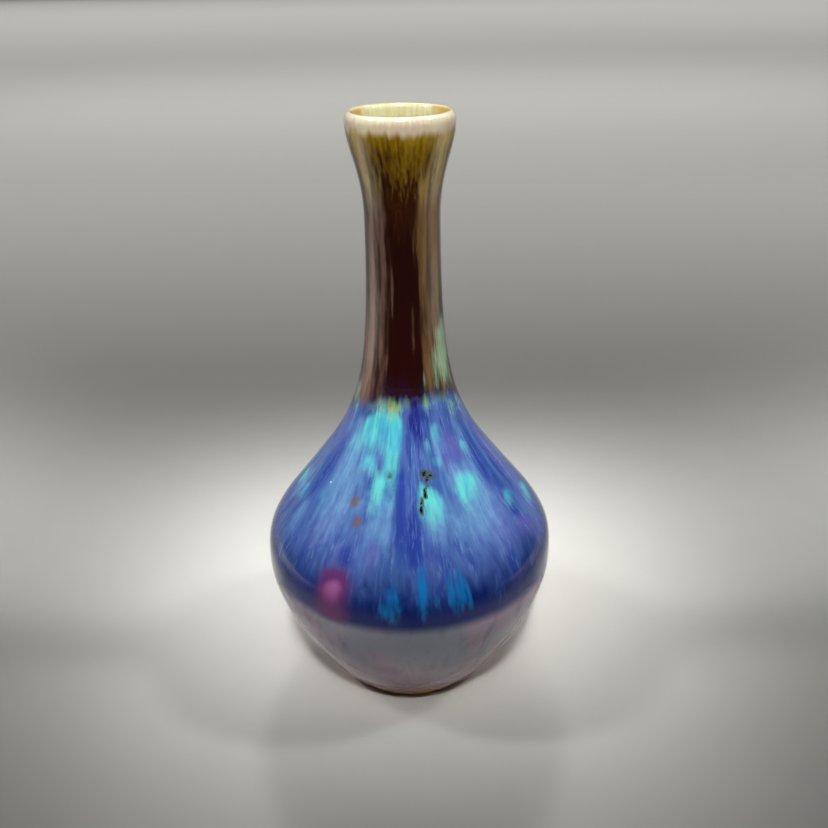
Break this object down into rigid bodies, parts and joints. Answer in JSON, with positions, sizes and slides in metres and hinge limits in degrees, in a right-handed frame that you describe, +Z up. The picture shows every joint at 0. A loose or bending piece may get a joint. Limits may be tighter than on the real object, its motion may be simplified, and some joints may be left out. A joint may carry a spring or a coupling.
{
  "type": "bud vase",
  "caption": "Small round-bellied ceramic bottle vase with a slender neck and a rolled lip, in running blue and brown glaze, for a single stem.",
  "frame": {"origin": "centre of the plane that the foot ring rests on", "axes": "+Z up along the turning axis; the pot is round, so +X and +Y are free"},
  "size_m": [0.0632, 0.0632, 0.125],
  "materials": {
    "bare_clay": "matt unglazed stoneware",
    "liner_glaze": "gloss",
    "body_glaze": "high gloss, running blue, turquoise and violet",
    "neck_glaze": "high gloss, brown to olive",
    "lip_glaze": "gloss cream"
  },
  "bodies": {
    "root": {"clay_body": "bare_clay", "liner_glaze": "liner_glaze", "body_glaze": "body_glaze", "neck_glaze": "neck_glaze", "lip_glaze": "lip_glaze"}
  },
  "joints": []
}
